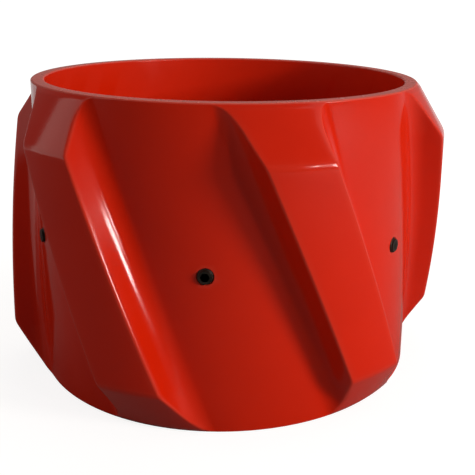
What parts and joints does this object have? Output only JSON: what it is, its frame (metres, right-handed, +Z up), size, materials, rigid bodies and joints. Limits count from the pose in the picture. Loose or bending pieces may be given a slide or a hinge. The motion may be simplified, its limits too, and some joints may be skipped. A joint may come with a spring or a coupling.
{
  "type": "rigid centralizer",
  "caption": "Cast spiral-vane rigid casing centralizer: a short tube with slanting tapered vanes and radial set screws that lock it on a well casing.",
  "frame": {"origin": "on the bore's axis at the lower end face", "axes": "+Z up along the bore's axis; the first set screw looks along -Y"},
  "size_m": [0.3048, 0.3006, 0.2],
  "materials": {
    "red_paint": "gloss red paint on cast steel, with soft ripple and thin pale edges",
    "black_steel": "black oxide"
  },
  "bodies": {
    "casting": {"vaned_body": "red_paint"},
    "screw_1": {"set_screw_1": "black_steel"},
    "screw_2": {"set_screw_2": "black_steel"},
    "screw_3": {"set_screw_3": "black_steel"},
    "screw_4": {"set_screw_4": "black_steel"},
    "screw_5": {"set_screw_5": "black_steel"},
    "screw_6": {"set_screw_6": "black_steel"}
  },
  "joints": [
    {"name": "drive_1", "type": "slide", "parent": "casting", "child": "screw_1", "axis": [0, 1, 0], "range_m": [0, 0.0035]},
    {"name": "drive_2", "type": "slide", "parent": "casting", "child": "screw_2", "axis": [-0.866, 0.5, 0], "range_m": [0, 0.0035]},
    {"name": "drive_3", "type": "slide", "parent": "casting", "child": "screw_3", "axis": [-0.866, -0.5, 0], "range_m": [0, 0.0035]},
    {"name": "drive_4", "type": "slide", "parent": "casting", "child": "screw_4", "axis": [0, -1, 0], "range_m": [0, 0.0035]},
    {"name": "drive_5", "type": "slide", "parent": "casting", "child": "screw_5", "axis": [0.866, -0.5, 0], "range_m": [0, 0.0035]},
    {"name": "drive_6", "type": "slide", "parent": "casting", "child": "screw_6", "axis": [0.866, 0.5, 0], "range_m": [0, 0.0035]}
  ]
}
